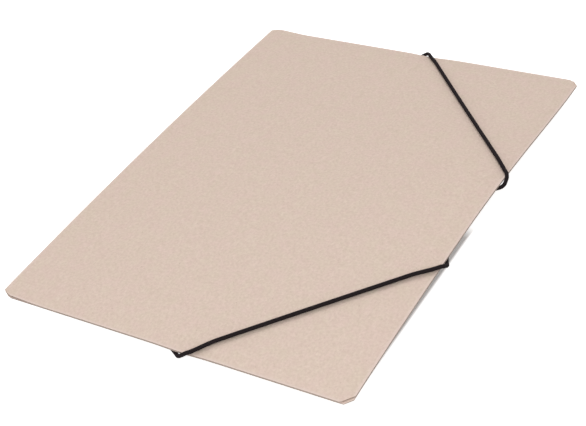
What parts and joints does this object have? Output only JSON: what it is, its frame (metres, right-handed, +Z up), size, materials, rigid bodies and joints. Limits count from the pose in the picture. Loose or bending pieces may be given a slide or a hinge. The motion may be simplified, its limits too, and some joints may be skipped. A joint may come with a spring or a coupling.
{
  "type": "elastic folder",
  "caption": "Closed document folder of folded kraft board, bowed a little, held shut by elastic cords drawn over its free corners and stopped inside the back cover.",
  "frame": {"origin": "centre of the closed folder in plan, on the surface that it lies on", "axes": "+X from the spine fold to the fore edge, +Y along the spine from the near short edge to the far one, +Z up through the covers"},
  "size_m": [0.2452, 0.3246, 0.0191],
  "materials": {
    "kraft_board": "matte",
    "black_elastic": "matte",
    "plated_steel": "satin"
  },
  "bodies": {
    "root": {"folded_card": "kraft_board", "elastic_cord_near": "black_elastic", "elastic_cord_far": "black_elastic", "cord_stop_near_short_edge": "plated_steel", "cord_stop_near_fore_edge": "plated_steel", "cord_stop_far_short_edge": "plated_steel", "cord_stop_far_fore_edge": "plated_steel"}
  },
  "joints": []
}
